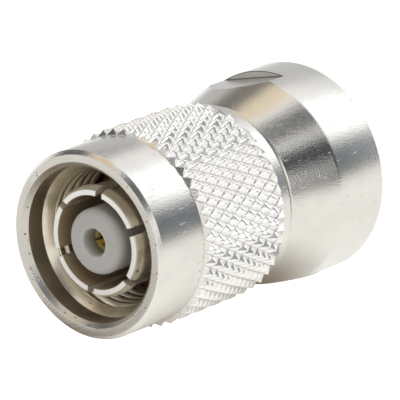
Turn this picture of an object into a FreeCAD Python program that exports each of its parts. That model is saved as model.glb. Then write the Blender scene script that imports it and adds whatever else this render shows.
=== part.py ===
import FreeCAD, Part
import math
import os
import Sketcher

from FreeCAD import Placement, Rotation, Vector

# In-series coaxial adapter that stands on the rim of its smooth nut, axis along +Z.
# The knurled end looks up, the smooth end looks down, and the origin is the centre of the lower rim.
# A "depth" is measured inward from the mouth of the nut at the same end of the adapter.

SIZES = {
    # slotted outer contacts, which set the radii of all that surrounds them
    "contact_bore": 3.5,
    "contact_wall": 0.4,
    "contact_setback": 0.9,
    "bulge_height": 0.22,
    "bulge_lead": 0.45,
    "bulge_width": 0.4,
    "bulge_run": 0.65,
    "slot_width": 0.58,
    "slot_length": 5.2,
    "slot_turn": 10.0,
    "press_depth": 2.0,
    # body
    "neck_wall": 0.92,
    "hub_step": 1.08,
    "hub_chamfer": 0.15,
    "hub_length": 3.75,
    # play between the nuts and what they turn on
    "nut_gap": 0.15,
    "end_play": 0.1,
    "running_clearance": 0.08,
    # inside of both nuts: thread root, relief and mouth, each outside the one before
    "thread_space": 1.656,
    "relief_step": 0.294,
    "mouth_step": 0.244,
    "mouth_bevel": 0.35,
    "shoulder_step": 0.9,
    # knurled nut, from its mouth inward
    "front_mouth_depth": 1.8,
    "front_thread_length": 5.5,
    "front_seat_step": 1.3,
    "front_shoulder_width": 1.7,
    "band_wall": 1.15,
    "band_chamfer": 0.3,
    "collar_chamfer": 0.28,
    # diamond knurl: lozenges raised above the front band
    "knurl_start": 4.8,
    "collar_length": 1.25,
    "knurl_pitch": 1.018,
    "knurl_angle": 30.0,
    "knurl_height": 0.42,
    "knurl_lift": 0.03,
    "knurl_lean": 0.3,
    "knurl_wall": 0.6,
    # smooth nut, from its mouth inward
    "rear_mouth_depth": 1.3,
    "rear_thread_length": 4.1,
    "rear_seat_step": 1.2,
    "rear_shoulder_width": 1.85,
    "rim_wall": 2.2,
    "rim_chamfer": 0.12,
    "cone_length": 4.35,
    "cone_drop": 1.25,
    "cone_round": 1.5,
    "flat_cut": 0.55,
    "flat_reach": 1.8,
    # snap rings
    "ring_width": 0.5,
    "ring_height": 0.93,
    "ring_opening": 1.2,
    "groove_depth": 0.4,
    "groove_play": 0.05,
    # gaskets
    "gasket_thickness": 1.0,
    "gasket_width": 1.5,
    # insulators
    "collar_width": 1.0,
    "nose_radius": 2.45,
    "nose_setback": 0.8,
    "nose_round": 0.6,
    "insulator_step": 1.3,
    "bead_width": 1.7,
    # centre contacts
    "socket_bore": 0.685,
    "socket_wall": 0.315,
    "socket_recess": 1.3,
    "socket_depth": 5.0,
    "socket_slot": 0.2,
    "socket_slot_length": 3.6,
    "rod_clearance": 0.03,
    "rod_flange_step": 0.6,
    "spigot_radius": 0.55,
    "spigot_length": 1.5,
    "pin_radius": 0.675,
    "pin_tip_radius": 0.3,
    "pin_tip_length": 0.65,
    "pin_setback": 1.1,
}

CONTACT_SLOTS = 6
SOCKET_SLOTS = 4
FLAT_COUNT = 2

doc = FreeCAD.newDocument("CoaxialAdapter")
sheet = doc.addObject("Spreadsheet::Sheet", "Sizes")
for row, (alias, number) in enumerate(SIZES.items(), start=1):
    sheet.set(f"A{row}", alias)
    sheet.set(f"B{row}", str(number))
    sheet.setAlias(f"B{row}", alias)
doc.recompute()


class Size:
    """A length: its value, and the sheet formula that it is bound to."""

    def __init__(self, value, formula):
        self.value = value
        self.formula = formula

    def __add__(self, other):
        return Size(self.value + other.value, f"({self.formula} + {other.formula})")

    def __sub__(self, other):
        return Size(self.value - other.value, f"({self.formula} - {other.formula})")

    def __truediv__(self, number):
        return Size(self.value / number, f"({self.formula} / {number})")


def size(alias):
    return Size(SIZES[alias], f"Sizes.{alias}")


ZERO = Size(0.0, "0")


def origin_plane(body, role):
    for feature in body.Origin.OriginFeatures:
        if feature.Role == role:
            return feature
    raise RuntimeError(f"no {role} in {body.Label}")


def new_sketch(body, name, role):
    sketch = body.newObject("Sketcher::SketchObject", name)
    sketch.AttachmentSupport = [(origin_plane(body, role), "")]
    sketch.MapMode = "FlatFace"
    return sketch


def hold_point(sketch, edge, corner):
    """Tie the start point of an edge to its two sizes, measured from the sketch's origin."""
    across, along = corner
    for kind, axis, length in (("DistanceX", -2, across), ("DistanceY", -1, along)):
        if length is ZERO:
            sketch.addConstraint(Sketcher.Constraint("PointOnObject", edge, 1, axis))
            continue
        index = sketch.addConstraint(
            Sketcher.Constraint(kind, -1, 1, edge, 1, length.value))
        sketch.setExpression(f"Constraints[{index}]", length.formula)


def draw_outline(sketch, corners):
    """Draw a closed outline of straight edges with every corner held by named sizes."""
    points = [Vector(across.value, along.value, 0) for across, along in corners]
    first = sketch.GeometryCount
    count = len(points)
    for i, point in enumerate(points):
        sketch.addGeometry(Part.LineSegment(point, points[(i + 1) % count]), False)
    for i in range(count):
        following = first + (i + 1) % count
        sketch.addConstraint(Sketcher.Constraint("Coincident", first + i, 2, following, 1))
    for i, corner in enumerate(corners):
        hold_point(sketch, first + i, corner)


def turned(label, corners):
    """A turned piece: an outline of (radius, depth) corners swept round the axis."""
    body = doc.addObject("PartDesign::Body", label)
    body.Label = label
    sketch = new_sketch(body, f"{label}_outline", "XZ_Plane")
    draw_outline(sketch, corners)
    revolution = body.newObject("PartDesign::Revolution", f"{label}_turning")
    revolution.Profile = sketch
    revolution.ReferenceAxis = (sketch, ["V_Axis"])
    revolution.Angle = 360.0
    body.Tip = revolution
    doc.recompute()
    return body


def cut_slots(body, count, width, start, length, reach):
    """Saw slots along the axis through one wall of a turned piece, evenly spaced round it."""
    before = body.Shape.Volume
    sketch = new_sketch(body, f"{body.Label}_slot", "XY_Plane")
    sketch.AttachmentOffset = Placement(Vector(0, 0, start.value), Rotation())
    sketch.setExpression("AttachmentOffset.Base.z", start.formula)
    half = width.value / 2
    low, high = Vector(0, -half, 0), Vector(reach.value, half, 0)
    corners = [low, Vector(high.x, low.y, 0), high, Vector(low.x, high.y, 0)]
    for i, corner in enumerate(corners):
        sketch.addGeometry(Part.LineSegment(corner, corners[(i + 1) % 4]), False)
    for i in range(4):
        sketch.addConstraint(Sketcher.Constraint("Coincident", i, 2, (i + 1) % 4, 1))
    for edge, kind in enumerate(("Horizontal", "Vertical", "Horizontal")):
        sketch.addConstraint(Sketcher.Constraint(kind, edge))
    sketch.addConstraint(Sketcher.Constraint("PointOnObject", 0, 1, -2))
    sketch.addConstraint(Sketcher.Constraint("Symmetric", 0, 1, 3, 1, -1))
    index = sketch.addConstraint(Sketcher.Constraint("DistanceX", 0, 1, 0, 2, reach.value))
    sketch.setExpression(f"Constraints[{index}]", reach.formula)
    index = sketch.addConstraint(Sketcher.Constraint("DistanceY", 1, 1, 1, 2, width.value))
    sketch.setExpression(f"Constraints[{index}]", width.formula)
    pocket = body.newObject("PartDesign::Pocket", f"{body.Label}_cut")
    pocket.Profile = sketch
    pocket.Reversed = True
    pocket.Length = length.value
    pocket.setExpression("Length", length.formula)
    body.Tip = pocket
    doc.recompute()
    if count > 1:
        pattern = body.newObject("PartDesign::PolarPattern", f"{body.Label}_cuts")
        pattern.Originals = [pocket]
        pattern.Axis = (sketch, ["N_Axis"])
        pattern.Angle = 360.0
        pattern.Occurrences = count
        body.Tip = pattern
        doc.recompute()
    if body.Shape.Volume > before - count * width.value * length.value * 0.1:
        raise RuntimeError(f"the slots of {body.Label} cut nothing")


def circle_edge(shape, radius, height):
    """Name of the circular edge of a turned shape at a radius and height."""
    for index, edge in enumerate(shape.Edges, start=1):
        curve = edge.Curve
        if not isinstance(curve, Part.Circle):
            continue
        if abs(curve.Radius - radius.value) < 1e-5 and abs(curve.Center.z - height.value) < 1e-5:
            return f"Edge{index}"
    raise RuntimeError(f"no round edge at radius {radius.value}, height {height.value}")


def round_edge(body, radius, height, rounding):
    base = body.Tip
    fillet = body.newObject("PartDesign::Fillet", f"{body.Label}_round")
    fillet.Base = (base, [circle_edge(base.Shape, radius, height)])
    fillet.Radius = rounding.value
    fillet.setExpression("Radius", rounding.formula)
    body.Tip = fillet
    doc.recompute()


# Radii that several pieces share
contact_bore = size("contact_bore")
contact_radius = contact_bore + size("contact_wall")
neck_radius = contact_radius + size("neck_wall")
groove_radius = neck_radius - size("groove_depth")
ring_radius = groove_radius + size("ring_height")
hub_radius = neck_radius + size("hub_step")
shoulder_bore = neck_radius + size("running_clearance")
hub_bore = hub_radius + size("running_clearance")
thread_radius = contact_radius + size("thread_space")
relief_radius = thread_radius + size("relief_step")
mouth_radius = thread_radius + size("mouth_step")
band_radius = relief_radius + size("band_wall")
rim_radius = relief_radius + size("rim_wall")
rod_radius = size("socket_bore") + size("socket_wall")
flange_radius = rod_radius + size("rod_flange_step")

# Depths that several pieces share
front_thread_end = size("front_mouth_depth") + size("front_thread_length")
front_seat = front_thread_end + size("front_seat_step")
front_shoulder = front_seat + size("shoulder_step")
front_shoulder_end = front_shoulder + size("front_shoulder_width")
front_press_end = front_seat + size("press_depth")
front_collar_end = front_press_end + size("collar_width")
rear_thread_end = size("rear_mouth_depth") + size("rear_thread_length")
rear_seat = rear_thread_end + size("rear_seat_step")
rear_shoulder = rear_seat + size("shoulder_step")
rear_press_end = rear_seat + size("press_depth")
rear_collar_end = rear_press_end + size("collar_width")

# Lengths along the axis
smooth_length = rear_shoulder + size("rear_shoulder_width")
hub_low = smooth_length + size("end_play")
hub_high = hub_low + size("hub_length")
overall = hub_high + size("end_play") + front_shoulder_end
knurled_length = overall - smooth_length - size("nut_gap")
bead_low = rear_collar_end + (overall - front_collar_end - rear_collar_end - size("bead_width")) / 2
bead_high = bead_low + size("bead_width")


def face_up(piece, turn=ZERO):
    """Put a piece that is modelled by depth at the knurled end, whose mouth is at the top."""
    flip = Rotation(Vector(1, 0, 0), 180)
    spin = Rotation(Vector(0, 0, 1), -turn.value)
    piece.Placement = Placement(Vector(0, 0, overall.value), flip * spin)
    piece.setExpression("Placement.Base.z", overall.formula)


def nut_mouth(outer_radius, outer_chamfer, mouth_depth, thread_end, shoulder_depth):
    """Inside of a coupling nut, from its shoulder out to the mouth and round to its outside."""
    mouth = mouth_radius
    bevel = size("mouth_bevel")
    return [
        (shoulder_bore, shoulder_depth),
        (relief_radius, shoulder_depth),
        (relief_radius, thread_end),
        (thread_radius, thread_end),
        (thread_radius, mouth_depth),
        (mouth, mouth_depth),
        (mouth, bevel),
        (mouth + bevel, ZERO),
        (outer_radius - outer_chamfer, ZERO),
        (outer_radius, outer_chamfer),
    ]


def knurl_solid():
    """A bar with two crossed sets of V grooves, which leave a four-sided point on each lozenge.

    Columns and rows count half pitches. Grooves cross where column plus row is even, and a lozenge
    has its point where it is odd. Each end runs through a row of points, which leans inward from the
    foot of the knurl as a chamfered blank leaves it.
    """
    crest = band_radius.value + SIZES["knurl_height"]
    root = band_radius.value + SIZES["knurl_lift"]
    length = (knurled_length - size("knurl_start") - size("collar_length")).value
    columns = 2 * round(2 * math.pi * crest / SIZES["knurl_pitch"])
    pitch_length = SIZES["knurl_pitch"] / math.tan(math.radians(SIZES["knurl_angle"]))
    rows = 2 * max(1, round(length / pitch_length))
    pitch_length = 2 * length / rows
    pitch_angle = 4 * math.pi / columns

    def corner(column, row):
        point = (column + row) % 2 == 1
        radius = crest if point else root
        angle = (column % columns) * pitch_angle / 2
        height = SIZES["knurl_start"] + row * pitch_length / 2
        if point and row == 0:
            height += SIZES["knurl_lean"]
        if point and row == rows:
            height -= SIZES["knurl_lean"]
        return Vector(radius * math.cos(angle), radius * math.sin(angle), height)

    faces = []

    def facet(*corners):
        points = [corner(*place) for place in corners]
        faces.append(Part.Face(Part.makePolygon(points + points[:1])))

    for row in range(rows + 1):
        for column in range((row + 1) % 2, columns, 2):
            left, right = (column - 1, row), (column + 1, row)
            for far in (row - 1, row + 1):
                if 0 <= far <= rows:
                    facet((column, row), left, (column, far))
                    facet((column, row), (column, far), right)
    for row in (0, rows):
        for column in range((row + 1) % 2, columns, 2):
            facet((column, row), (column - 1, row), (column + 1, row))
        facet(*[(column, row) for column in range(row % 2, columns, 2)])
    return Part.makeSolid(Part.makeShell(faces))


def make_knurled_nut():
    band = band_radius
    blank = turned("knurled_blank", nut_mouth(
        band, size("band_chamfer"), size("front_mouth_depth"), front_thread_end, front_shoulder) + [
        (band, knurled_length - size("collar_chamfer")),
        (band - size("collar_chamfer"), knurled_length),
        (hub_bore, knurled_length),
        (hub_bore, front_shoulder_end),
        (shoulder_bore, front_shoulder_end),
    ])
    teeth = doc.addObject("Part::Feature", "knurl_teeth")
    teeth.Shape = knurl_solid()
    core = doc.addObject("Part::Cylinder", "knurl_core")
    core.setExpression("Radius", (band - size("knurl_wall") / 2).formula)
    core.setExpression("Height", overall.formula)
    sleeve = doc.addObject("Part::Cut", "knurl_sleeve")
    sleeve.Base, sleeve.Tool = teeth, core
    nut = doc.addObject("Part::Fuse", "knurled_nut")
    nut.Label = "knurled_nut"
    nut.Base, nut.Tool = blank, sleeve
    face_up(nut)
    doc.recompute()
    return nut


def make_smooth_nut():
    rim = rim_radius
    cone_start = smooth_length - size("cone_length")
    nut = turned("smooth_nut", nut_mouth(
        rim, size("rim_chamfer"), size("rear_mouth_depth"), rear_thread_end, rear_shoulder) + [
        (rim, cone_start),
        (rim - size("cone_drop"), smooth_length),
        (shoulder_bore, smooth_length),
    ])
    round_edge(nut, rim, cone_start, size("cone_round"))
    before = nut.Shape.Volume
    sketch = new_sketch(nut, "wrench_flat", "XZ_Plane")
    flat = rim - size("flat_cut")
    low = cone_start - size("flat_reach")
    draw_outline(sketch, [
        (flat, low),
        (flat + rim, low),
        (flat + rim, overall),
        (flat, overall),
    ])
    pocket = nut.newObject("PartDesign::Pocket", "wrench_cut")
    pocket.Profile = sketch
    pocket.Type = "ThroughAll"
    pocket.Midplane = True
    nut.Tip = pocket
    doc.recompute()
    pattern = nut.newObject("PartDesign::PolarPattern", "wrench_cuts")
    pattern.Originals = [pocket]
    pattern.Axis = (sketch, ["V_Axis"])
    pattern.Angle = 360.0
    pattern.Occurrences = FLAT_COUNT
    nut.Tip = pattern
    nut.Placement = Placement(Vector(0, 0, 0), Rotation(Vector(0, 0, 1), 90))
    doc.recompute()
    if nut.Shape.Volume >= before:
        raise RuntimeError("the wrench flats cut nothing")
    return nut


def groove(shoulder, away):
    """Heights of a ring groove's two walls, the lower one first."""
    near = shoulder - size("end_play") - size("ring_width") - size("groove_play")
    far = shoulder - size("end_play") + size("groove_play")
    return (near, far) if away else (overall - far, overall - near)


def make_main_body():
    neck = neck_radius
    hub = hub_radius
    chamfer = size("hub_chamfer")
    press = contact_radius
    bore = contact_bore
    low = rear_seat
    high = overall - front_seat
    rear_near, rear_far = groove(rear_shoulder, True)
    front_near, front_far = groove(front_shoulder, False)
    return turned("main_body", [
        (press, low),
        (neck, low),
        (neck, rear_near),
        (groove_radius, rear_near),
        (groove_radius, rear_far),
        (neck, rear_far),
        (neck, hub_low),
        (hub - chamfer, hub_low),
        (hub, hub_low + chamfer),
        (hub, hub_high - chamfer),
        (hub - chamfer, hub_high),
        (neck, hub_high),
        (neck, front_near),
        (groove_radius, front_near),
        (groove_radius, front_far),
        (neck, front_far),
        (neck, high),
        (press, high),
        (press, overall - front_collar_end),
        (bore, overall - front_collar_end),
        (bore, rear_collar_end),
        (press, rear_collar_end),
    ])


def make_outer_contact(label, press_end):
    """A spring sleeve: its fingers swell near their tips to grip the bore of the mating half."""
    radius = contact_radius
    bore = contact_bore
    tip = size("contact_setback")
    swell = radius + size("bulge_height")
    lead = tip + size("bulge_lead")
    crest = lead + size("bulge_width")
    contact = turned(label, [
        (bore, tip),
        (radius, tip),
        (swell, lead),
        (swell, crest),
        (radius, crest + size("bulge_run")),
        (radius, press_end),
        (bore, press_end),
    ])
    cut_slots(contact, CONTACT_SLOTS, size("slot_width"), tip, size("slot_length"), swell + swell)
    return contact


def make_front_dielectric():
    nose = size("nose_radius")
    bore = rod_radius + size("rod_clearance")
    face = size("nose_setback")
    step = front_seat - size("insulator_step")
    piece = turned("front_dielectric", [
        (bore, face),
        (nose, face),
        (nose, step),
        (contact_bore, step),
        (contact_bore, front_press_end),
        (contact_radius, front_press_end),
        (contact_radius, front_collar_end),
        (bore, front_collar_end),
    ])
    round_edge(piece, nose, face, size("nose_round"))
    return piece


def make_rear_dielectric():
    face = rear_seat - size("insulator_step")
    return turned("rear_dielectric", [
        (rod_radius, face),
        (contact_bore, face),
        (contact_bore, rear_press_end),
        (contact_radius, rear_press_end),
        (contact_radius, rear_collar_end),
        (rod_radius, rear_collar_end),
    ])


def make_centre_bead():
    return turned("centre_bead", [
        (rod_radius, bead_low),
        (contact_bore, bead_low),
        (contact_bore, bead_high),
        (rod_radius, bead_high),
    ])


def make_socket_contact():
    """Centre socket of the knurled end, with a hole in its back for the other contact's spigot."""
    rod = rod_radius
    mouth = size("nose_setback") + size("socket_recess")
    back = overall - bead_high
    contact = turned("socket_contact", [
        (size("socket_bore"), mouth),
        (rod, mouth),
        (rod, front_collar_end),
        (flange_radius, front_collar_end),
        (flange_radius, back),
        (size("spigot_radius"), back),
        (size("spigot_radius"), back - size("spigot_length")),
        (ZERO, back - size("spigot_length")),
        (ZERO, mouth + size("socket_depth")),
        (size("socket_bore"), mouth + size("socket_depth")),
    ])
    cut_slots(contact, SOCKET_SLOTS, size("socket_slot"), mouth, size("socket_slot_length"), rod + rod)
    return contact


def make_pin_contact():
    """Centre pin of the smooth end, with a flange under the bead and a spigot at its back."""
    rod = rod_radius
    tip = size("pin_setback")
    face = rear_seat - size("insulator_step")
    return turned("pin_contact", [
        (ZERO, tip),
        (size("pin_tip_radius"), tip),
        (size("pin_radius"), tip + size("pin_tip_length")),
        (size("pin_radius"), face),
        (rod, face),
        (rod, rear_collar_end),
        (flange_radius, rear_collar_end),
        (flange_radius, bead_low),
        (rod, bead_low),
        (rod, bead_high),
        (size("spigot_radius"), bead_high),
        (size("spigot_radius"), bead_high + size("spigot_length")),
        (ZERO, bead_high + size("spigot_length")),
    ])


def make_gasket(label, seat_depth):
    outer = contact_radius + size("gasket_width")
    top = seat_depth - size("gasket_thickness")
    return turned(label, [
        (contact_radius, top),
        (outer, top),
        (outer, seat_depth),
        (contact_radius, seat_depth),
    ])


def make_snap_ring(label, shoulder_depth):
    """A flat split ring, seated in its groove with the nut's shoulder behind it."""
    high = shoulder_depth - size("end_play")
    low = high - size("ring_width")
    ring = turned(label, [
        (groove_radius, low),
        (ring_radius, low),
        (ring_radius, high),
        (groove_radius, high),
    ])
    cut_slots(ring, 1, size("ring_opening"), low, size("ring_width"), ring_radius + ring_radius)
    return ring


def turn_slots(piece):
    piece.Placement = Placement(Vector(), Rotation(Vector(0, 0, 1), SIZES["slot_turn"]))


knurled_nut = make_knurled_nut()
smooth_nut = make_smooth_nut()
main_body = make_main_body()
front_outer_contact = make_outer_contact("front_outer_contact", front_press_end)
rear_outer_contact = make_outer_contact("rear_outer_contact", rear_press_end)
front_dielectric = make_front_dielectric()
rear_dielectric = make_rear_dielectric()
centre_bead = make_centre_bead()
socket_contact = make_socket_contact()
pin_contact = make_pin_contact()
front_gasket = make_gasket("front_gasket", front_seat)
rear_gasket = make_gasket("rear_gasket", rear_seat)
front_snap_ring = make_snap_ring("front_snap_ring", front_shoulder)
rear_snap_ring = make_snap_ring("rear_snap_ring", rear_shoulder)

for piece in (front_dielectric, socket_contact, front_gasket, front_snap_ring):
    face_up(piece)
face_up(front_outer_contact, size("slot_turn"))
turn_slots(rear_outer_contact)
doc.recompute()

PIECES = [
    main_body, knurled_nut, smooth_nut, front_outer_contact, rear_outer_contact,
    front_dielectric, rear_dielectric, centre_bead, socket_contact, pin_contact,
    front_gasket, rear_gasket, front_snap_ring, rear_snap_ring,
]

for item in doc.Objects:
    if "Invalid" in item.State or "Error" in item.State:
        raise RuntimeError(f"{item.Label} failed: {item.State}")
for piece in PIECES:
    if piece.Shape.isNull() or not piece.Shape.isValid():
        raise RuntimeError(f"{piece.Label} has no valid shape")

os.makedirs("parts", exist_ok=True)
for piece in PIECES:
    piece.Shape.exportStep(f"parts/{piece.Label}.step")
    box = piece.Shape.BoundBox
    print(f"{piece.Label}: {len(piece.Shape.Solids)} solid, volume {piece.Shape.Volume:.2f}, "
          f"z {box.ZMin:.3f} to {box.ZMax:.3f}, radius {box.XMax:.3f}")
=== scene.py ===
import math

import bmesh
import bpy
from mathutils import Matrix, Vector


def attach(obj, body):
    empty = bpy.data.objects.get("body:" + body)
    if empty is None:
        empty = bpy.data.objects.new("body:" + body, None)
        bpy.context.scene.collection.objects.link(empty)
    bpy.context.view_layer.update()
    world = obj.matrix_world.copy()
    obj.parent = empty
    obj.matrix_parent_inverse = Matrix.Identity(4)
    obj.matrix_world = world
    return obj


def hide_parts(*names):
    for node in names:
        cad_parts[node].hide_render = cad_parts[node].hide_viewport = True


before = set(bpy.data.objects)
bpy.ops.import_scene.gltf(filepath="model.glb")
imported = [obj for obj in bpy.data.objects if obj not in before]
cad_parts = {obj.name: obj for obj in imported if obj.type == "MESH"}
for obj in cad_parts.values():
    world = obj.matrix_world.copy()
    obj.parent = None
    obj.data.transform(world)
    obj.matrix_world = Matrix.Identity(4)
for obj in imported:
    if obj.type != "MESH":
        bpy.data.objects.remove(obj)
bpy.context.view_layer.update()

MM = 0.001

# The coaxial adapter stands on the rim of its smooth nut, its axis along +Z, and sizes are in millimetres.
# A "depth" is measured inward from the mouth of the nut at the same end.
OVERALL = 24.5
KNURLED_LENGTH = 15.0
SMOOTH_LENGTH = 9.35

# Inside of both nuts: radii, then the depths at which each stretch ends
THREAD_RADIUS = 5.556
THREAD_CREST = 5.1
THREAD_PITCH = 0.907
RELIEF_RADIUS = 5.85
MOUTH_RADIUS = 5.8
MOUTH_BEVEL = 0.35
SHOULDER_BORE = 4.9
HUB_BORE = 5.98
FRONT_MOUTH = 1.8
FRONT_LEAD_IN = 2.45
FRONT_THREAD = 7.3
FRONT_RELIEF = 9.5
FRONT_SHOULDER = 11.2
REAR_MOUTH = 1.3
REAR_THREAD = 5.4
REAR_RELIEF = 7.5

# Outside of the knurled nut
BAND_RADIUS = 7.0
BAND_CHAMFER = 0.3
COLLAR_CHAMFER = 0.28
KNURL_ROOT = 7.03
KNURL_CREST = 7.42
KNURL_START = 4.8
KNURL_LENGTH = 8.95
KNURL_COLUMNS = 46
KNURL_PERIODS = 5
KNURL_LEAN = 0.3

# Outside of the smooth nut
RIM_RADIUS = 8.05
RIM_CHAMFER = 0.12
CONE_START = 5.0
CONE_END_RADIUS = 6.8
CONE_ROUND = 1.5
FLAT_DISTANCE = 7.5
FLAT_DEPTH = 3.2

# Spring sleeves and the insulator's nose
SLEEVE_BORE = 3.5
SLEEVE_SETBACK = 0.9
NOSE_FACE = OVERALL - 0.8
NOSE_SHADE_RADIUS = 1.35

# Fineness of the meshes, and how near counts as the same place
ROUND_STEPS = 240
CORNER_STEPS = 3
CORNER_POINTS = CORNER_STEPS + 1
CLOSE = 0.01


def new_object(name, data):
    thing = bpy.data.objects.new(name, data)
    bpy.context.scene.collection.objects.link(thing)
    return thing


def mesh_data(name, mesh):
    data = bpy.data.meshes.new(name)
    mesh.to_mesh(data)
    mesh.free()
    return data


# Camera, at the photograph's viewing angle

FOCAL_PIXELS = 4065.57
FRAME_PIXELS = 400
CAMERA_PLACE = Vector((-198.04, -48.10, 231.14)) * MM
CAMERA_RIGHT = Vector((-0.74944, 0.18282, -0.63633))
CAMERA_BACK = Vector((-0.66129, -0.15999, 0.73287))


def make_camera():
    """Place the camera and give back its turn, whose columns are right, up and towards the camera."""
    data = bpy.data.cameras.new("Camera")
    data.sensor_width = 36
    data.lens = FOCAL_PIXELS * data.sensor_width / FRAME_PIXELS
    data.clip_start = 0.01
    data.clip_end = 10
    camera = new_object("Camera", data)
    back = CAMERA_BACK.normalized()
    up = back.cross(CAMERA_RIGHT).normalized()
    right = up.cross(back)
    turn = Matrix((right, up, back)).transposed()
    camera.matrix_world = Matrix.Translation(CAMERA_PLACE) @ turn.to_4x4()
    bpy.context.scene.camera = camera
    return turn


# Small helpers for node trees

class Nodes:
    """Adds nodes to one tree. A socket value is a number, a tuple, or another node's output."""

    def __init__(self, tree):
        self.tree = tree

    def add(self, kind, inputs=None, output=0, **settings):
        node = self.tree.nodes.new(kind)
        for key, value in settings.items():
            setattr(node, key, value)
        for key, value in (inputs or {}).items():
            self.give(node.inputs[key], value)
        return node.outputs[output]

    def give(self, socket, value):
        if isinstance(value, bpy.types.NodeSocket):
            self.tree.links.new(value, socket)
        else:
            socket.default_value = value

    def math(self, operation, a, b=0.0, c=0.0):
        return self.add("ShaderNodeMath", {0: a, 1: b, 2: c}, operation=operation)

    def mix(self, share, a, b):
        return self.add("ShaderNodeMix", {0: share, 6: a, 7: b}, output=2, data_type="RGBA")

    def ramp(self, value, low, high, start=0.0, end=1.0):
        return self.add(
            "ShaderNodeMapRange", {0: value, 1: low, 2: high, 3: start, 4: end},
            interpolation_type="SMOOTHSTEP")

    def noise(self, place, scale, detail):
        return self.add("ShaderNodeTexNoise", {"Vector": place, "Scale": scale, "Detail": detail})

    def bump(self, height, strength, distance):
        return self.add(
            "ShaderNodeBump", {"Strength": strength, "Distance": distance * MM, "Height": height},
            output="Normal")

    def length(self, x, y, z):
        vector = self.add("ShaderNodeCombineXYZ", {0: x, 1: y, 2: z})
        return self.add("ShaderNodeVectorMath", {0: vector}, output="Value", operation="LENGTH")

    def place(self):
        """Object coordinates as a vector and as x, y and z, in metres."""
        vector = self.add("ShaderNodeTexCoord", output="Object")
        parts = self.tree.nodes.new("ShaderNodeSeparateXYZ")
        self.tree.links.new(vector, parts.inputs[0])
        return vector, *parts.outputs

    def finish(self, kind, surface):
        """Add the tree's output node, of a material or a world, and lead a shader to it."""
        output = self.tree.nodes.new(kind)
        self.tree.links.new(surface, output.inputs["Surface"])


def empty_tree(owner):
    owner.use_nodes = True
    owner.node_tree.nodes.clear()
    return Nodes(owner.node_tree)


def new_material(name):
    material = bpy.data.materials.new(name)
    nodes = empty_tree(material)
    shader = nodes.tree.nodes.new("ShaderNodeBsdfPrincipled")
    nodes.finish("ShaderNodeOutputMaterial", shader.outputs[0])
    return material, nodes, shader


def colour(tone, strength=1.0):
    return (*(strength * part for part in tone), 1.0)


def turning_marks(nodes, radius, height, scale):
    """Rings left by the tool, which follow the axis on a side wall and the radius on a face."""
    along = nodes.math("ADD", radius, height)
    return nodes.add(
        "ShaderNodeTexNoise", {"W": along, "Scale": scale, "Detail": 4.0}, noise_dimensions="1D")


def specks(nodes, place, spacing, size, share):
    """Small separate spots, as 1 inside a spot and 0 elsewhere. Only a share of the cells has one."""
    cells = nodes.tree.nodes.new("ShaderNodeTexVoronoi")
    nodes.give(cells.inputs["Vector"], place)
    cells.inputs["Scale"].default_value = 1 / (spacing * MM)
    chosen = nodes.add("ShaderNodeSeparateColor", {0: cells.outputs["Color"]})
    here = nodes.math("LESS_THAN", chosen, share)
    spot = nodes.ramp(cells.outputs["Distance"], size, size * 0.5)
    return nodes.math("MULTIPLY", spot, here)


# Materials

NICKEL = (0.80, 0.785, 0.75)
TARNISH = (0.27, 0.21, 0.09)
GRIME = (0.12, 0.10, 0.08)


class Metal:
    """Plated metal: tool rings, fine scratches, blasted grain, small dark specks and a broad stain."""

    def __init__(
            self, name, tint, roughness, marks=0.5, grain=0.0, stain_and_shade=None, stain_share=0.0,
            speck_share=0.06, speck_spacing=0.9, speck_size=0.09, metallic=1.0, scratches=0.0):
        self.material, nodes, self.shader = new_material(name)
        self.nodes = nodes
        place, x, self.y, self.height = nodes.place()
        self.radius = nodes.length(x, self.y, 0.0)
        rings = turning_marks(nodes, self.radius, self.height, 9000.0)
        cloud = nodes.noise(place, 420.0, 5.0)
        fine = nodes.noise(place, 9000.0, 3.0)
        spots = specks(nodes, place, speck_spacing, speck_size, speck_share)
        self.base = nodes.mix(nodes.ramp(cloud, 0.35, 0.7), colour(tint), colour(tint, 0.95))
        if stain_and_shade:
            patches = nodes.ramp(cloud, 0.62 - 0.3 * stain_share, 0.72 - 0.2 * stain_share)
            self.cover(nodes.math("MULTIPLY", patches, stain_share), stain_and_shade)
        self.cover(nodes.math("MULTIPLY", spots, 0.75), GRIME)
        self.shader.inputs["Metallic"].default_value = metallic
        smoothest = roughness * (1 - 0.25 * marks)
        roughest = roughness * (1 + 0.35 * marks)
        gloss = nodes.ramp(rings, 0.3, 0.7, smoothest, roughest)
        dull = nodes.math("MULTIPLY", spots, 0.25)
        nodes.give(self.shader.inputs["Roughness"], nodes.math("ADD", gloss, dull))
        relief = nodes.math("MULTIPLY_ADD", fine, grain, nodes.math("MULTIPLY", rings, marks))
        if scratches:
            lying = nodes.add("ShaderNodeMapping", {
                "Vector": place, "Rotation": (0.5, 0.3, 0.0), "Scale": (9.0, 9.0, 1.0)})
            streak = nodes.ramp(nodes.noise(lying, 700.0, 1.0), 0.72, 0.76)
            relief = nodes.math("MULTIPLY_ADD", streak, 5.0 * scratches, relief)
        nodes.give(self.shader.inputs["Normal"], nodes.bump(relief, 0.5, 0.02))

    def cover(self, share, tone):
        """Lay another tone over the metal's colour, as far as share says."""
        self.base = self.nodes.mix(share, self.base, colour(tone))
        self.nodes.give(self.shader.inputs["Base Color"], self.base)


def inner_finish():
    """Inside of the nuts: a darker brown wall at the mouth, and paler metal from the lead-in on."""
    metal = Metal(
        "nickel_inside", (0.84, 0.79, 0.68), 0.24, marks=0.3, grain=0.8, stain_and_shade=TARNISH, stain_share=0.4,
        speck_share=0.1, metallic=0.92)
    # darker brown on the inside wherever it reaches the mouth wall's radius
    metal.cover(
        metal.nodes.ramp(metal.radius, (MOUTH_RADIUS - 0.05) * MM, (MOUTH_RADIUS - 0.01) * MM, 0.0, 0.6),
        (0.38, 0.28, 0.17))
    return metal.material


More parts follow.
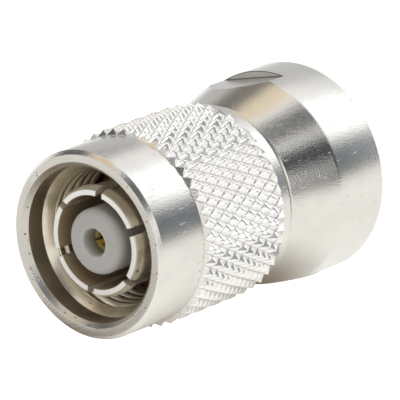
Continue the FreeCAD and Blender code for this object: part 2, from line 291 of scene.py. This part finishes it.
def knurl_finish():
    """Bright rolled points, with painted shade darkening the bottom of the grooves."""
    metal = Metal(
        "nickel_knurl", (0.97, 0.965, 0.955), 0.16, marks=0.0, grain=0.3, speck_share=0.03, metallic=0.74)
    # painted shade: a darker tone at the groove bottoms stands in for the shade between the points
    metal.cover(
        metal.nodes.ramp(metal.radius, (KNURL_ROOT + 0.04) * MM, (KNURL_ROOT + 0.01) * MM),
        (0.74, 0.73, 0.71))
    return metal.material


def shoulder_finish():
    """The milled shoulder above each wrench flat: duller, with dark lines along its corner at the flat and
    along its outer edge.
    """
    metal = Metal("nickel_shoulder", (0.46, 0.45, 0.43), 0.4, marks=0.2, grain=1.2, speck_share=0.1)
    nodes = metal.nodes
    aside = nodes.math("ABSOLUTE", metal.y)
    corner = nodes.ramp(aside, (FLAT_DISTANCE + 0.09) * MM, (FLAT_DISTANCE + 0.03) * MM)
    outer = nodes.ramp(metal.radius, (RIM_RADIUS - 0.10) * MM, (RIM_RADIUS - 0.04) * MM)
    metal.cover(nodes.math("MAXIMUM", corner, outer), (0.14, 0.13, 0.12))
    return metal.material


def contact_finish():
    """Spring sleeves: dull sides, a brown bore, and tips rubbed bright by the mating halves."""
    metal = Metal(
        "nickel_contact", (0.72, 0.68, 0.58), 0.34, marks=0.8, grain=3.0, stain_and_shade=TARNISH, stain_share=0.45,
        speck_share=0.35, speck_spacing=0.5, speck_size=0.3, metallic=0.6)
    nodes = metal.nodes
    metal.cover(
        nodes.ramp(metal.radius, (SLEEVE_BORE + 0.2) * MM, (SLEEVE_BORE + 0.05) * MM), (0.40, 0.30, 0.19))
    middle = OVERALL / 2
    tip = middle - SLEEVE_SETBACK
    from_middle = nodes.math("ABSOLUTE", nodes.math("SUBTRACT", metal.height, middle * MM))
    metal.cover(nodes.ramp(from_middle, (tip - 0.1) * MM, (tip - 0.03) * MM), (0.80, 0.79, 0.76))
    return metal.material


def plastic(name, tint, stain_and_shade, roughness=0.5):
    """Machined fluoroplastic, a little translucent, with faint tool rings, and painted shade with a painted
    warm reflection of the gold contact in the bore.
    """
    material, nodes, shader = new_material(name)
    place, x, y, height = nodes.place()
    radius = nodes.length(x, y, 0.0)
    rings = turning_marks(nodes, radius, height, 7000.0)
    cloud = nodes.ramp(nodes.noise(place, 600.0, 4.0), 0.45, 0.75)
    base = nodes.mix(cloud, colour(tint), colour(tint, 0.94))
    # painted shade and painted reflection: a warm dark tone inside the bore, stronger deeper in
    bore = nodes.ramp(radius, NOSE_SHADE_RADIUS * MM, (NOSE_SHADE_RADIUS - 0.15) * MM)
    deep = nodes.ramp(height, (NOSE_FACE - 0.1) * MM, (NOSE_FACE - 1.9) * MM)
    base = nodes.mix(nodes.math("MULTIPLY", bore, deep), base, colour(stain_and_shade))
    nodes.give(shader.inputs["Base Color"], base)
    gloss = nodes.ramp(rings, 0.3, 0.7, roughness - 0.06, roughness + 0.08)
    nodes.give(shader.inputs["Roughness"], gloss)
    shader.inputs["Subsurface Weight"].default_value = 0.8
    shader.inputs["Subsurface Radius"].default_value = (1.0, 0.9, 0.75)
    shader.inputs["Subsurface Scale"].default_value = 1.0 * MM
    shader.inputs["IOR"].default_value = 1.37
    nodes.give(shader.inputs["Normal"], nodes.bump(rings, 0.25, 0.006))
    return material


def rubber(name, tint):
    material, nodes, shader = new_material(name)
    place = nodes.add("ShaderNodeTexCoord", output="Object")
    cloud = nodes.noise(place, 1500.0, 5.0)
    nodes.give(shader.inputs["Base Color"], nodes.mix(cloud, colour(tint), colour(tint, 0.6)))
    shader.inputs["Roughness"].default_value = 0.62
    nodes.give(shader.inputs["Normal"], nodes.bump(cloud, 0.4, 0.02))
    return material


side_metal = Metal("nickel_side", NICKEL, 0.17, marks=0.12, grain=1.4, scratches=0.4).material
face_metal = Metal(
    "nickel_face", (0.63, 0.615, 0.575), 0.26, marks=0.15, grain=2.2, speck_share=0.33,
    speck_spacing=0.42, speck_size=0.24).material
inner_metal = inner_finish()
knurl_metal = knurl_finish()
shoulder_metal = shoulder_finish()
flat_metal = Metal("nickel_flat", (0.71, 0.70, 0.68), 0.24, marks=0.1, grain=1.4).material
contact_metal = contact_finish()
hidden_metal = Metal("nickel_body", NICKEL, 0.34).material
gold = Metal("gold_plate", (0.97, 0.83, 0.40), 0.26, marks=0.4, speck_share=0.03).material
bronze = Metal("spring_bronze", (0.72, 0.50, 0.32), 0.35, marks=0.3, grain=0.4).material
# the white plastic is tinted grey: painted shade for the dim light inside the nut's mouth
shaded_white_plastic = plastic("shaded_white_plastic", (0.375, 0.37, 0.36), (0.20, 0.16, 0.10))
seal_rubber = rubber("seal_rubber", (0.30, 0.07, 0.05))

# The nuts' faces name these metals by their places in the list
nut_metals = [face_metal, side_metal, inner_metal, shoulder_metal, flat_metal]
FACE, SIDE, INSIDE, SHOULDER, FLAT = range(len(nut_metals))


# Mesh helpers

def rounded(profile, radius):
    """Replace each corner of a closed (radius, height) outline with a small arc."""
    points = [Vector(p) for p in profile]
    result = []
    for i, corner in enumerate(points):
        before = points[i - 1] - corner
        after = points[(i + 1) % len(points)] - corner
        turn = before.angle(after)
        cut = min(radius / math.tan(turn / 2), 0.4 * before.length, 0.4 * after.length)
        start = corner + before.normalized() * cut
        end = corner + after.normalized() * cut
        for step in range(CORNER_POINTS):
            t = step / CORNER_STEPS
            result.append((1 - t) ** 2 * start + 2 * t * (1 - t) * corner + t ** 2 * end)
    return result


def arc_points(centre, radius, start, end, steps):
    angles = [start + (end - start) * i / steps for i in range(steps + 1)]
    return [Vector((centre[0] + radius * math.cos(a), centre[1] + radius * math.sin(a))) for a in angles]


def lathe(mesh, profile, material_at):
    """Sweep a closed outline round the axis. material_at gives a face's metal for its radius and height."""
    rings = []
    for step in range(ROUND_STEPS):
        angle = 2 * math.pi * step / ROUND_STEPS
        c, s = math.cos(angle) * MM, math.sin(angle) * MM
        rings.append([mesh.verts.new((r * c, r * s, z * MM)) for r, z in profile])
    count = len(profile)
    for step in range(ROUND_STEPS):
        near, far = rings[step], rings[(step + 1) % ROUND_STEPS]
        for i in range(count):
            j = (i + 1) % count
            face = mesh.faces.new((near[i], far[i], far[j], near[j]))
            middle = (profile[i] + profile[j]) / 2
            face.material_index = material_at(*middle)


def add_piece(name, mesh, materials, body, smooth_angle=30.0):
    """Turn a bmesh into an object that rides on a body."""
    bmesh.ops.recalc_face_normals(mesh, faces=mesh.faces)
    data = mesh_data(name, mesh)
    for material in materials:
        data.materials.append(material)
    data.shade_smooth()
    data.set_sharp_from_angle(angle=math.radians(smooth_angle))
    thing = new_object(name, data)
    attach(thing, body)
    return thing


# Knurled nut

def knurled_profile():
    top = OVERALL
    return [
        (SHOULDER_BORE, top - FRONT_RELIEF),
        (RELIEF_RADIUS, top - FRONT_RELIEF),
        (RELIEF_RADIUS, top - FRONT_THREAD),
        (THREAD_RADIUS, top - FRONT_THREAD),
        (THREAD_RADIUS, top - FRONT_LEAD_IN - 0.3),
        (THREAD_CREST + 0.05, top - FRONT_LEAD_IN),
        (MOUTH_RADIUS, top - FRONT_MOUTH),
        (MOUTH_RADIUS, top - MOUTH_BEVEL),
        (MOUTH_RADIUS + MOUTH_BEVEL, top),
        (BAND_RADIUS - BAND_CHAMFER, top),
        (BAND_RADIUS, top - BAND_CHAMFER),
        (BAND_RADIUS, top - KNURLED_LENGTH + COLLAR_CHAMFER),
        (BAND_RADIUS - COLLAR_CHAMFER, top - KNURLED_LENGTH),
        (HUB_BORE, top - KNURLED_LENGTH),
        (HUB_BORE, top - FRONT_SHOULDER),
        (SHOULDER_BORE, top - FRONT_SHOULDER),
    ]


def knurled_part(radius, height):
    if radius < MOUTH_RADIUS + 0.05:
        return INSIDE
    return FACE if height > OVERALL - MOUTH_BEVEL and radius < BAND_RADIUS - 0.2 else SIDE


def knurl_mesh(mesh):
    """Lozenges between crossed grooves: four-sided points with a little roundness at ridge and tip.

    Each is a square grid whose two directions cross the two sets of grooves. The first and last rows
    are halves, with an end wall that leans inward.
    """
    steps = 10
    low = OVERALL - KNURL_START - KNURL_LENGTH
    half_height = KNURL_LENGTH / KNURL_PERIODS / 2
    half_angle = math.pi / KNURL_COLUMNS
    last = 2 * KNURL_PERIODS
    rise = KNURL_CREST - KNURL_ROOT
    worn = 0.22
    ridge = 6.0
    foot_radius = BAND_RADIUS - 0.15
    end_metal = 1

    def vertex(column, row, radius, lean=0.0):
        angle = column * half_angle
        height = low + row * half_height + lean
        return mesh.verts.new((radius * math.cos(angle) * MM, radius * math.sin(angle) * MM, height * MM))

    def grid_vertex(column, row, u, v):
        """A point where u and v run from -1 to 1 between the grooves."""
        far = (abs(u) ** ridge + abs(v) ** ridge) ** (1 / ridge)
        share = (math.hypot(1, worn) - math.hypot(far, worn)) / (math.hypot(1, worn) - worn)
        return vertex(column + (u - v) / 2, row + (u + v) / 2, KNURL_ROOT + rise * max(0.0, share))

    def half_lozenge(column, row):
        inward = 1 if row == 0 else -1
        left, right = (vertex(column + side, row, KNURL_ROOT) for side in (-1, 1))
        far = vertex(column, row + inward, KNURL_ROOT)
        tip = vertex(column, row, KNURL_CREST, inward * KNURL_LEAN)
        foot = [vertex(column + side, row, foot_radius) for side in (-1, 1)]
        for corners in ((left, tip, far), (tip, right, far)):
            mesh.faces.new(corners)
        for corners in ((left, right, tip), (foot[0], foot[1], right, left)):
            mesh.faces.new(corners).material_index = end_metal

    def lozenge(column, row):
        spots = [2 * i / steps - 1 for i in range(steps + 1)]
        grid = [[grid_vertex(column, row, u, v) for v in spots] for u in spots]
        for near, far in zip(grid, grid[1:]):
            for j in range(steps):
                mesh.faces.new((near[j], far[j], far[j + 1], near[j + 1]))

    for row in range(last + 1):
        shape_at = half_lozenge if row in (0, last) else lozenge
        for column in range((row + 1) % 2, 2 * KNURL_COLUMNS, 2):
            shape_at(column, row)


def thread_mesh(mesh, low, high):
    """Right-handed helical ridge on the inside of a nut, fading into the wall at both ends."""
    per_turn = 120
    fading = 0.25 * per_turn
    count = int(per_turn * (high - low) / THREAD_PITCH)
    crest_half = THREAD_PITCH / 12
    corner_half = THREAD_PITCH * 0.18
    root_half = THREAD_PITCH * 7 / 16
    sunk = THREAD_RADIUS + 0.04
    sections = []
    for step in range(count + 1):
        angle = 2 * math.pi * step / per_turn
        height = low + THREAD_PITCH * step / per_turn
        fade = min(1.0, min(step, count - step) / fading)
        crest = THREAD_RADIUS - (THREAD_RADIUS - THREAD_CREST) * fade
        corner = crest + 0.06 * fade
        shape = (
            (sunk, -root_half), (corner, -corner_half), (crest, -crest_half),
            (crest, crest_half), (corner, corner_half), (sunk, root_half))
        sections.append([
            mesh.verts.new(
                (r * math.cos(angle) * MM, r * math.sin(angle) * MM, (height + dz) * MM))
            for r, dz in shape])
    for near, far in zip(sections, sections[1:]):
        for i in range(len(near) - 1):
            mesh.faces.new((near[i], near[i + 1], far[i + 1], far[i]))


shape = bmesh.new()
lathe(shape, rounded(knurled_profile(), 0.05), knurled_part)
knurled = add_piece("knurled_shell", shape, nut_metals, "knurled_coupling")
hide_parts("knurled_nut")

shape = bmesh.new()
knurl_mesh(shape)
knurl = add_piece("knurl_lozenges", shape, [knurl_metal, side_metal], "knurled_coupling", smooth_angle=32.0)

shape = bmesh.new()
thread_mesh(shape, OVERALL - FRONT_THREAD + 0.05, OVERALL - FRONT_LEAD_IN + 0.1)
front_thread = add_piece("front_thread_ridge", shape, [inner_metal], "knurled_coupling", smooth_angle=60.0)


# Smooth nut

def smooth_profile():
    length = SMOOTH_LENGTH
    slope = math.atan((RIM_RADIUS - CONE_END_RADIUS) / (length - CONE_START))
    cut = CONE_ROUND * math.tan(slope / 2)
    blend = arc_points((RIM_RADIUS - CONE_ROUND, CONE_START - cut), CONE_ROUND, 0.0, slope, 8)
    lower = rounded([
        (SHOULDER_BORE, REAR_RELIEF),
        (RELIEF_RADIUS, REAR_RELIEF),
        (RELIEF_RADIUS, REAR_THREAD),
        (THREAD_RADIUS, REAR_THREAD),
        (THREAD_RADIUS, REAR_MOUTH),
        (MOUTH_RADIUS, REAR_MOUTH),
        (MOUTH_RADIUS, MOUTH_BEVEL),
        (MOUTH_RADIUS + MOUTH_BEVEL, 0.0),
        (RIM_RADIUS - RIM_CHAMFER, 0.0),
        (RIM_RADIUS, RIM_CHAMFER),
        (RIM_RADIUS, CONE_START - cut - 0.3),
    ], 0.04)
    upper = rounded([
        (RIM_RADIUS - 0.5, CONE_START),
        (CONE_END_RADIUS + 0.02, length - 0.1),
        (CONE_END_RADIUS - 0.12, length),
        (SHOULDER_BORE, length),
        (SHOULDER_BORE, REAR_RELIEF),
    ], 0.04)
    # where the stretches meet, their end corners only guide the rounding and are left out
    return lower[:-CORNER_POINTS] + blend + upper[CORNER_POINTS:-CORNER_POINTS]


def smooth_part(radius, height):
    if radius < MOUTH_RADIUS + 0.3 and height < SMOOTH_LENGTH - 0.05:
        return INSIDE
    return FACE if height < 0.05 else SIDE


def cut_flats(thing):
    """Mill the two wrench flats, each ending at a shoulder."""
    mesh = bmesh.new()
    for side in (1, -1):
        near, far = sorted((side * FLAT_DISTANCE, side * (RIM_RADIUS + 2)))
        low = (-RIM_RADIUS - 1, near, FLAT_DEPTH)
        high = (RIM_RADIUS + 1, far, OVERALL)
        for vertex in bmesh.ops.create_cube(mesh, size=1.0)["verts"]:
            ends = zip(vertex.co, low, high)
            vertex.co = [(last if place > 0 else first) * MM for place, first, last in ends]
    cutter = new_object("cutter", mesh_data("cutter", mesh))
    cut = thing.modifiers.new("flats", "BOOLEAN")
    cut.operation = "DIFFERENCE"
    cut.solver = "EXACT"
    cut.object = cutter
    bpy.context.view_layer.update()
    result = bpy.data.meshes.new_from_object(
        thing.evaluated_get(bpy.context.evaluated_depsgraph_get()))
    thing.modifiers.clear()
    thing.data = result
    for face in result.polygons:
        past_flat = abs(face.center.y) - FLAT_DISTANCE * MM
        at_depth = abs(face.center.z - FLAT_DEPTH * MM) < CLOSE * MM
        if abs(past_flat) < CLOSE * MM and abs(face.normal.y) > 0.99:
            face.material_index = FLAT
        elif at_depth and past_flat > 0:
            face.material_index = SHOULDER
    bpy.data.objects.remove(cutter)


shape = bmesh.new()
lathe(shape, smooth_profile(), smooth_part)
smooth = add_piece("smooth_shell", shape, nut_metals, "smooth_coupling")
cut_flats(smooth)
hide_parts("smooth_nut")

shape = bmesh.new()
thread_mesh(shape, REAR_MOUTH + 0.15, REAR_THREAD - 0.15)
rear_thread = add_piece("rear_thread_ridge", shape, [inner_metal], "smooth_coupling", smooth_angle=60.0)


# The other pieces show the solids themselves, with their edges slightly broken

FINISHES = {
    "main_body": hidden_metal,
    "front_outer_contact": contact_metal,
    "rear_outer_contact": contact_metal,
    "front_dielectric": shaded_white_plastic,
    "rear_dielectric": shaded_white_plastic,
    "centre_bead": shaded_white_plastic,
    "socket_contact": gold,
    "pin_contact": gold,
    "front_gasket": seal_rubber,
    "rear_gasket": seal_rubber,
    "front_snap_ring": bronze,
    "rear_snap_ring": bronze,
}


def dress(thing, finish):
    thing.data.materials.clear()
    thing.data.materials.append(finish)
    weld = thing.modifiers.new("weld", "WELD")
    weld.merge_threshold = 0.0005 * MM
    soft = finish is shaded_white_plastic
    edge = thing.modifiers.new("edge", "BEVEL")
    edge.width = (0.2 if soft else 0.035) * MM
    edge.segments = 4 if soft else 2
    edge.limit_method = "ANGLE"
    edge.angle_limit = math.radians(35)


for node, finish in FINISHES.items():
    dress(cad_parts[node], finish)


# Surroundings

FLOOR_GLOW = (1.02, 1.005, 0.965)
SKY_GLOW = (1.05, 1.05, 1.05)
WHITE = (1, 1, 1)

# Soft patches of the studio, later ones over earlier ones. Each has its direction as (right, up, towards
# the camera), the angles in degrees from there at which it starts to fade and ends, and its tone.
PATCHES = [
    ((0.72, -0.08, -0.69), 15, 26, (1.40, 1.40, 1.40)),
    ((0.50, 0.46, -0.73), 12, 21, (0.42, 0.42, 0.42)),
    ((0.04, 0.60, -0.80), 10, 28, (0.62, 0.62, 0.615)),
    ((-0.16, 0.87, -0.44), 9, 20, (0.22, 0.21, 0.19)),
    ((-0.25, 0.52, -0.81), 6, 16, (0.55, 0.54, 0.52)),
    ((0.46, 0.83, 0.30), 10, 20, (0.10, 0.10, 0.105)),
    ((0.06, 0.99, -0.10), 7, 15, (0.90, 0.76, 0.56)),
    ((0.86, 0.27, 0.43), 15, 27, (0.05, 0.05, 0.055)),
    ((0.965, 0.24, -0.11), 7, 18, (0.20, 0.22, 0.25)),
    ((0.52, 0.68, 0.56), 6, 10, (1.60, 1.60, 1.60)),
    ((0.34, 0.80, 0.50), 6, 10, (1.60, 1.60, 1.60)),
    ((0.16, 0.93, 0.36), 6, 10, (1.60, 1.60, 1.60)),
    ((0.80, 0.05, 0.60), 8, 15, (0.95, 0.95, 0.95)),
    ((-0.155, 0.443, 0.882), 15, 26, (0.15, 0.15, 0.16)),
    ((-0.38, 0.29, 0.88), 10, 17, (0.12, 0.12, 0.13)),
    ((-0.73, 0.66, -0.17), 13, 24, (0.16, 0.15, 0.14)),
    ((-0.83, 0.53, -0.10), 12, 19, (0.12, 0.12, 0.12)),
    ((-0.64, 0.57, 0.51), 5, 11, (0.80, 0.64, 0.44)),
    ((-0.546, 0.751, 0.368), 8, 15, (0.80, 0.62, 0.42)),
    ((0.67, 0.705, -0.22), 9, 18, (1.75, 1.75, 1.75)),
]


def make_surroundings(turn):
    """Soft studio as a sphere of light: a base tone and broad soft patches, placed as seen by the camera."""
    world = bpy.data.worlds.new("studio")
    bpy.context.scene.world = world
    nodes = empty_tree(world)
    direction = nodes.add("ShaderNodeTexCoord", output="Generated")

    def facing(side):
        towards = turn @ Vector(side).normalized()
        return nodes.add(
            "ShaderNodeVectorMath", {0: direction, 1: tuple(towards)}, output="Value",
            operation="DOT_PRODUCT")

    light = nodes.mix(nodes.ramp(facing((0, 1, 0)), -0.02, 0.12), colour(FLOOR_GLOW), colour(SKY_GLOW))
    for side, inner, outer, tone in PATCHES:
        near, far = (math.cos(math.radians(angle)) for angle in (inner, outer))
        light = nodes.mix(nodes.ramp(facing(side), far, near), light, colour(tone))
    path = nodes.tree.nodes.new("ShaderNodeLightPath")
    seen = nodes.mix(path.outputs["Is Camera Ray"], light, colour(WHITE))
    nodes.finish("ShaderNodeOutputWorld", nodes.add("ShaderNodeBackground", {"Color": seen}))


def square_sheet(name, half_size, material):
    mesh = bmesh.new()
    bmesh.ops.create_grid(mesh, x_segments=1, y_segments=1, size=half_size)
    data = mesh_data(name, mesh)
    data.materials.append(material)
    return new_object(name, data)


def make_floor():
    """A plain white floor that keeps the soft shadow. The metal mirrors the studio instead of it."""
    material, nodes, shader = new_material("floor_white")
    shader.inputs["Base Color"].default_value = colour((0.85, 0.85, 0.85))
    shader.inputs["Roughness"].default_value = 0.9
    shader.inputs["Specular IOR Level"].default_value = 0.0
    shader.inputs["Emission Color"].default_value = colour(WHITE)
    path = nodes.tree.nodes.new("ShaderNodeLightPath")
    glow = nodes.math("MULTIPLY", path.outputs["Is Camera Ray"], 0.45)
    nodes.give(shader.inputs["Emission Strength"], glow)
    floor = square_sheet("floor", half_size=1.5, material=material)
    floor.location.z = -0.02 * MM
    floor.visible_glossy = False


def table_glow():
    """Pale table with a painted shadow of the adapter, dark and warm where the adapter touches it, and
    painted shade darker again at its far side.
    """
    material = bpy.data.materials.new("side_table")
    nodes = empty_tree(material)
    _, x, y, _ = nodes.place()
    # local x runs along the table and local y up the adapter's axis, from which the shadow leans
    lean = math.radians(19)
    foot, top, middle = 2 * MM, 30 * MM, 1 * MM
    up = nodes.math("SUBTRACT", y, 5 * MM)
    along = nodes.math(
        "ADD", nodes.math("MULTIPLY", x, math.sin(lean)), nodes.math("MULTIPLY", up, math.cos(lean)))
    across = nodes.math(
        "SUBTRACT", nodes.math("MULTIPLY", x, math.cos(lean)), nodes.math("MULTIPLY", up, math.sin(lean)))
    past_top = nodes.math("MAXIMUM", nodes.math("SUBTRACT", along, top), 0.0)
    past_foot = nodes.math("MAXIMUM", nodes.math("SUBTRACT", foot, along), 0.0)
    aside = nodes.math("SUBTRACT", across, middle)
    distance = nodes.length(
        nodes.math("DIVIDE", past_top, 14 * MM),
        nodes.math("DIVIDE", past_foot, 3 * MM),
        nodes.math("DIVIDE", aside, 5.5 * MM))
    # painted shadow: the tone falls to a dark warm brown near the line where the adapter lies
    shade = nodes.ramp(distance, 0.3, 2.2)
    tone = nodes.mix(shade, colour((0.25, 0.205, 0.155)), colour(FLOOR_GLOW))
    # painted shade: the table darkens towards its far side
    far_side_shade = nodes.ramp(x, -20 * MM, -56 * MM)
    tone = nodes.mix(far_side_shade, tone, colour((0.20, 0.20, 0.20)))
    nodes.finish("ShaderNodeOutputMaterial", nodes.add("ShaderNodeEmission", {"Color": tone}))
    return material


def make_table():
    """What the lying adapter's metal mirrors: a glowing sheet with the table at its side and its shadow
    painted on, seen only in reflections.
    """
    table = square_sheet("side_table", half_size=0.075, material=table_glow())
    table.rotation_euler = (math.radians(90), 0, 0)
    table.location = (0, (RIM_RADIUS + 0.15) * MM, 0)
    table.visible_camera = False
    table.visible_diffuse = False
    table.visible_shadow = False
    table.visible_transmission = False


def make_lamp(turn, side, distance, size, power):
    data = bpy.data.lights.new("softbox", "AREA")
    data.shape = "SQUARE"
    data.size = size
    data.energy = power
    lamp = new_object("softbox", data)
    towards = turn @ Vector(side).normalized()
    lamp.location = towards * distance
    lamp.rotation_mode = "QUATERNION"
    lamp.rotation_quaternion = towards.to_track_quat("Z", "Y")
    lamp.visible_glossy = False


turn = make_camera()
make_surroundings(turn)
make_floor()
make_table()
make_lamp(turn, side=(0.12, 0.55, 0.82), distance=0.5, size=0.3, power=0.85)

bpy.context.scene.view_settings.view_transform = "Standard"
